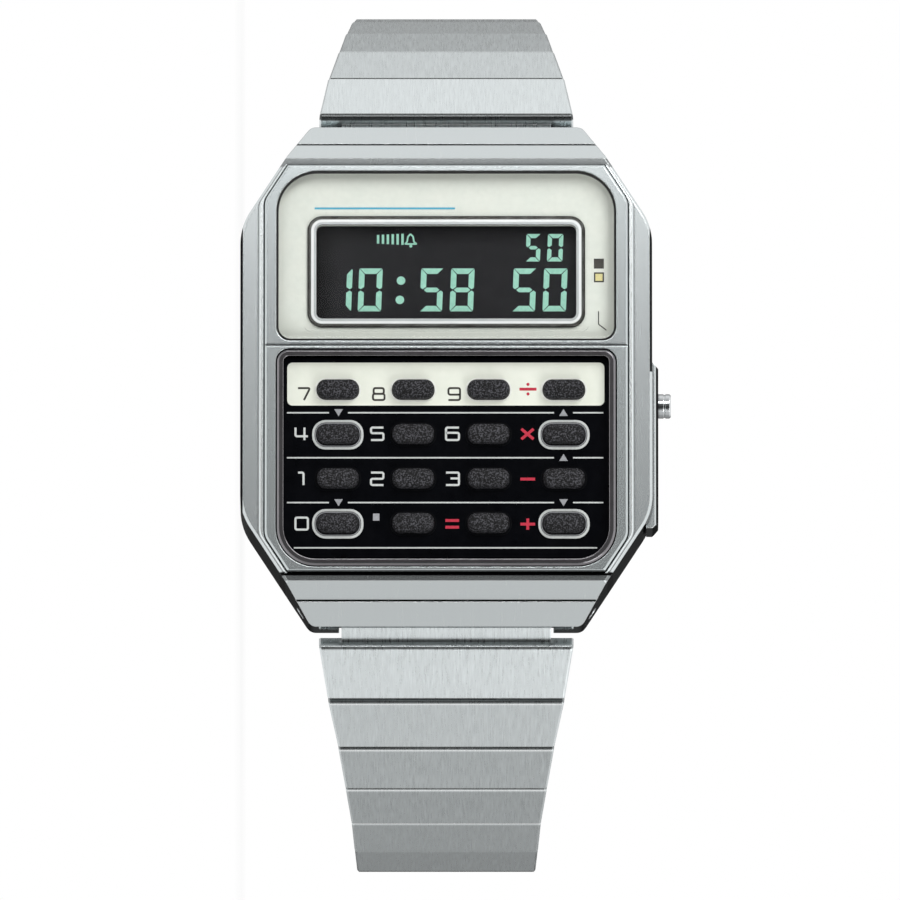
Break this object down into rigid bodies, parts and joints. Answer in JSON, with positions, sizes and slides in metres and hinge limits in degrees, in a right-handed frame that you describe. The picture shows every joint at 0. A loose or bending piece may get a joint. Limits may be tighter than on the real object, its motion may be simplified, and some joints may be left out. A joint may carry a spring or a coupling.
{
  "type": "calculator watch",
  "caption": "Digital calculator watch: angular steel case with display window, rubber keypad and side pushers, on a tapered flat-link bracelet with a folding clasp.",
  "frame": {"origin": "centre of the case back's outer face", "axes": "+Y points from the face through the case back into the wrist loop, +X from 12 o'clock to 6 o'clock, +Z from 9 o'clock to 3 o'clock; the watch lies on its 9 o'clock flank"},
  "size_m": [0.0728, 0.0557, 0.036],
  "materials": {
    "case_steel": "fine brushed, polished bevels",
    "link_steel": "brushed along the bracelet",
    "polished_steel": "polished",
    "back_steel": "satin",
    "crystal": "clear, bevelled edge",
    "cream_face": "smooth cream",
    "display_glass": "dark negative display",
    "legend_black": "black with white and red legends",
    "key_rubber": "fine grained",
    "board_green": "solder mask",
    "module_plastic": "moulded",
    "cell_steel": "nickel plated",
    "buzzer_brass": "plain",
    "gasket_rubber": "smooth"
  },
  "bodies": {
    "case": {"case_body": "case_steel", "bezel_plate": "case_steel", "display_crystal": "crystal", "face_panel": "cream_face", "screen_surround": "polished_steel", "lcd_cell": "display_glass", "keypad_rim": "polished_steel", "keypad_plate": "legend_black", "key_mat": "key_rubber", "circuit_board": "board_green", "module_frame": "module_plastic", "battery": "cell_steel", "buzzer": "buzzer_brass", "case_back": "back_steel", "back_screws": "polished_steel", "back_gasket": "gasket_rubber", "spring_bars": "polished_steel"},
    "key_1_1": {"key_1_1": "key_rubber"},
    "key_1_2": {"key_1_2": "key_rubber"},
    "key_1_3": {"key_1_3": "key_rubber"},
    "key_1_4": {"key_1_4": "key_rubber"},
    "key_2_1": {"key_2_1": "key_rubber"},
    "key_2_2": {"key_2_2": "key_rubber"},
    "key_2_3": {"key_2_3": "key_rubber"},
    "key_2_4": {"key_2_4": "key_rubber"},
    "key_3_1": {"key_3_1": "key_rubber"},
    "key_3_2": {"key_3_2": "key_rubber"},
    "key_3_3": {"key_3_3": "key_rubber"},
    "key_3_4": {"key_3_4": "key_rubber"},
    "key_4_1": {"key_4_1": "key_rubber"},
    "key_4_2": {"key_4_2": "key_rubber"},
    "key_4_3": {"key_4_3": "key_rubber"},
    "key_4_4": {"key_4_4": "key_rubber"},
    "mode_pusher": {"mode_pusher": "polished_steel"},
    "adjust_pusher": {"adjust_pusher": "polished_steel"},
    "lower_link_01": {"lower_link_01": "link_steel"},
    "lower_link_02": {"lower_link_02": "link_steel"},
    "lower_link_03": {"lower_link_03": "link_steel"},
    "lower_link_04": {"lower_link_04": "link_steel"},
    "lower_link_05": {"lower_link_05": "link_steel"},
    "lower_link_06": {"lower_link_06": "link_steel"},
    "lower_link_07": {"lower_link_07": "link_steel"},
    "lower_link_08": {"lower_link_08": "link_steel"},
    "lower_link_09": {"lower_link_09": "link_steel"},
    "lower_link_10": {"lower_link_10": "link_steel"},
    "lower_link_11": {"lower_link_11": "link_steel"},
    "upper_link_01": {"upper_link_01": "link_steel"},
    "upper_link_02": {"upper_link_02": "link_steel"},
    "upper_link_03": {"upper_link_03": "link_steel"},
    "upper_link_04": {"upper_link_04": "link_steel"},
    "upper_link_05": {"upper_link_05": "link_steel"},
    "upper_link_06": {"upper_link_06": "link_steel"},
    "upper_link_07": {"upper_link_07": "link_steel"},
    "upper_link_08": {"upper_link_08": "link_steel"},
    "upper_link_09": {"upper_link_09": "link_steel"},
    "upper_link_10": {"upper_link_10": "link_steel"},
    "upper_link_11": {"upper_link_11": "link_steel"},
    "clasp_cover": {"clasp_cover": "link_steel"},
    "clasp_middle_blade": {"clasp_middle_blade": "polished_steel"},
    "clasp_end_blade": {"clasp_end_blade": "polished_steel"}
  },
  "joints": [
    {"name": "key_1_1_press", "type": "slide", "parent": "case", "child": "key_1_1", "axis": [0, 1, 0], "range_m": [0, 0.00045], "stiffness_N_per_m": 800},
    {"name": "key_1_2_press", "type": "slide", "parent": "case", "child": "key_1_2", "axis": [0, 1, 0], "range_m": [0, 0.00045], "stiffness_N_per_m": 800},
    {"name": "key_1_3_press", "type": "slide", "parent": "case", "child": "key_1_3", "axis": [0, 1, 0], "range_m": [0, 0.00045], "stiffness_N_per_m": 800},
    {"name": "key_1_4_press", "type": "slide", "parent": "case", "child": "key_1_4", "axis": [0, 1, 0], "range_m": [0, 0.00045], "stiffness_N_per_m": 800},
    {"name": "key_2_1_press", "type": "slide", "parent": "case", "child": "key_2_1", "axis": [0, 1, 0], "range_m": [0, 0.00045], "stiffness_N_per_m": 800},
    {"name": "key_2_2_press", "type": "slide", "parent": "case", "child": "key_2_2", "axis": [0, 1, 0], "range_m": [0, 0.00045], "stiffness_N_per_m": 800},
    {"name": "key_2_3_press", "type": "slide", "parent": "case", "child": "key_2_3", "axis": [0, 1, 0], "range_m": [0, 0.00045], "stiffness_N_per_m": 800},
    {"name": "key_2_4_press", "type": "slide", "parent": "case", "child": "key_2_4", "axis": [0, 1, 0], "range_m": [0, 0.00045], "stiffness_N_per_m": 800},
    {"name": "key_3_1_press", "type": "slide", "parent": "case", "child": "key_3_1", "axis": [0, 1, 0], "range_m": [0, 0.00045], "stiffness_N_per_m": 800},
    {"name": "key_3_2_press", "type": "slide", "parent": "case", "child": "key_3_2", "axis": [0, 1, 0], "range_m": [0, 0.00045], "stiffness_N_per_m": 800},
    {"name": "key_3_3_press", "type": "slide", "parent": "case", "child": "key_3_3", "axis": [0, 1, 0], "range_m": [0, 0.00045], "stiffness_N_per_m": 800},
    {"name": "key_3_4_press", "type": "slide", "parent": "case", "child": "key_3_4", "axis": [0, 1, 0], "range_m": [0, 0.00045], "stiffness_N_per_m": 800},
    {"name": "key_4_1_press", "type": "slide", "parent": "case", "child": "key_4_1", "axis": [0, 1, 0], "range_m": [0, 0.00045], "stiffness_N_per_m": 800},
    {"name": "key_4_2_press", "type": "slide", "parent": "case", "child": "key_4_2", "axis": [0, 1, 0], "range_m": [0, 0.00045], "stiffness_N_per_m": 800},
    {"name": "key_4_3_press", "type": "slide", "parent": "case", "child": "key_4_3", "axis": [0, 1, 0], "range_m": [0, 0.00045], "stiffness_N_per_m": 800},
    {"name": "key_4_4_press", "type": "slide", "parent": "case", "child": "key_4_4", "axis": [0, 1, 0], "range_m": [0, 0.00045], "stiffness_N_per_m": 800},
    {"name": "mode_pusher_press", "type": "slide", "parent": "case", "child": "mode_pusher", "axis": [0, 0, -1], "range_m": [0, 0.0006], "stiffness_N_per_m": 1000},
    {"name": "adjust_pusher_press", "type": "slide", "parent": "case", "child": "adjust_pusher", "axis": [0, 0, -1], "range_m": [0, 0.0006], "stiffness_N_per_m": 1000},
    {"name": "lower_link_01_hinge", "type": "hinge", "parent": "case", "child": "lower_link_01", "pos_m": [0.0199, -0.0028, 0], "axis": [0, 0, 1], "range_deg": [-38, 0]},
    {"name": "lower_link_02_hinge", "type": "hinge", "parent": "lower_link_01", "child": "lower_link_02", "pos_m": [0.024, 0.0004, 0], "axis": [0, 0, 1], "range_deg": [-15.5, 0]},
    {"name": "lower_link_03_hinge", "type": "hinge", "parent": "lower_link_02", "child": "lower_link_03", "pos_m": [0.02737, 0.00436, 0], "axis": [0, 0, 1], "range_deg": [-12.5, 0]},
    {"name": "lower_link_04_hinge", "type": "hinge", "parent": "lower_link_03", "child": "lower_link_04", "pos_m": [0.03013, 0.00877, 0], "axis": [0, 0, 1], "range_deg": [-11, 0]},
    {"name": "lower_link_05_hinge", "type": "hinge", "parent": "lower_link_04", "child": "lower_link_05", "pos_m": [0.03233, 0.01348, 0], "axis": [0, 0, 1], "range_deg": [-11.5, 0]},
    {"name": "lower_link_06_hinge", "type": "hinge", "parent": "lower_link_05", "child": "lower_link_06", "pos_m": [0.03389, 0.01844, 0], "axis": [0, 0, 1], "range_deg": [-11.5, 0]},
    {"name": "lower_link_07_hinge", "type": "hinge", "parent": "lower_link_06", "child": "lower_link_07", "pos_m": [0.03479, 0.02356, 0], "axis": [0, 0, 1], "range_deg": [-19, 0]},
    {"name": "lower_link_08_hinge", "type": "hinge", "parent": "lower_link_07", "child": "lower_link_08", "pos_m": [0.03434, 0.02874, 0], "axis": [0, 0, 1], "range_deg": [-20, 0]},
    {"name": "lower_link_09_hinge", "type": "hinge", "parent": "lower_link_08", "child": "lower_link_09", "pos_m": [0.03248, 0.03359, 0], "axis": [0, 0, 1], "range_deg": [-20, 0]},
    {"name": "lower_link_10_hinge", "type": "hinge", "parent": "lower_link_09", "child": "lower_link_10", "pos_m": [0.02935, 0.03775, 0], "axis": [0, 0, 1], "range_deg": [-20, 0]},
    {"name": "lower_link_11_hinge", "type": "hinge", "parent": "lower_link_10", "child": "lower_link_11", "pos_m": [0.0252, 0.04088, 0], "axis": [0, 0, 1], "range_deg": [-20, 0]},
    {"name": "upper_link_01_hinge", "type": "hinge", "parent": "case", "child": "upper_link_01", "pos_m": [-0.0199, -0.0028, 0], "axis": [0, 0, -1], "range_deg": [-38, 0]},
    {"name": "upper_link_02_hinge", "type": "hinge", "parent": "upper_link_01", "child": "upper_link_02", "pos_m": [-0.024, 0.0004, 0], "axis": [0, 0, -1], "range_deg": [-15.5, 0]},
    {"name": "upper_link_03_hinge", "type": "hinge", "parent": "upper_link_02", "child": "upper_link_03", "pos_m": [-0.02737, 0.00436, 0], "axis": [0, 0, -1], "range_deg": [-12.5, 0]},
    {"name": "upper_link_04_hinge", "type": "hinge", "parent": "upper_link_03", "child": "upper_link_04", "pos_m": [-0.03013, 0.00877, 0], "axis": [0, 0, -1], "range_deg": [-11, 0]},
    {"name": "upper_link_05_hinge", "type": "hinge", "parent": "upper_link_04", "child": "upper_link_05", "pos_m": [-0.03233, 0.01348, 0], "axis": [0, 0, -1], "range_deg": [-11.5, 0]},
    {"name": "upper_link_06_hinge", "type": "hinge", "parent": "upper_link_05", "child": "upper_link_06", "pos_m": [-0.03389, 0.01844, 0], "axis": [0, 0, -1], "range_deg": [-11.5, 0]},
    {"name": "upper_link_07_hinge", "type": "hinge", "parent": "upper_link_06", "child": "upper_link_07", "pos_m": [-0.03479, 0.02356, 0], "axis": [0, 0, -1], "range_deg": [-19, 0]},
    {"name": "upper_link_08_hinge", "type": "hinge", "parent": "upper_link_07", "child": "upper_link_08", "pos_m": [-0.03434, 0.02874, 0], "axis": [0, 0, -1], "range_deg": [-20, 0]},
    {"name": "upper_link_09_hinge", "type": "hinge", "parent": "upper_link_08", "child": "upper_link_09", "pos_m": [-0.03248, 0.03359, 0], "axis": [0, 0, -1], "range_deg": [-20, 0]},
    {"name": "upper_link_10_hinge", "type": "hinge", "parent": "upper_link_09", "child": "upper_link_10", "pos_m": [-0.02935, 0.03775, 0], "axis": [0, 0, -1], "range_deg": [-20, 0]},
    {"name": "upper_link_11_hinge", "type": "hinge", "parent": "upper_link_10", "child": "upper_link_11", "pos_m": [-0.0252, 0.04088, 0], "axis": [0, 0, -1], "range_deg": [-20, 0]},
    {"name": "clasp_cover_hinge", "type": "hinge", "parent": "upper_link_11", "child": "clasp_cover", "pos_m": [-0.02034, 0.04274, 0], "axis": [0, 0, -1], "range_deg": [-8, 0]},
    {"name": "clasp_middle_blade_hinge", "type": "hinge", "parent": "clasp_cover", "child": "clasp_middle_blade", "pos_m": [0.01722, 0.04382, 0], "axis": [0, 0, 1], "range_deg": [0, 40]},
    {"name": "clasp_end_blade_hinge", "type": "hinge", "parent": "clasp_middle_blade", "child": "clasp_end_blade", "pos_m": [-0.01515, 0.04383, 0], "axis": [0, 0, -1], "range_deg": [0, 75]}
  ]
}
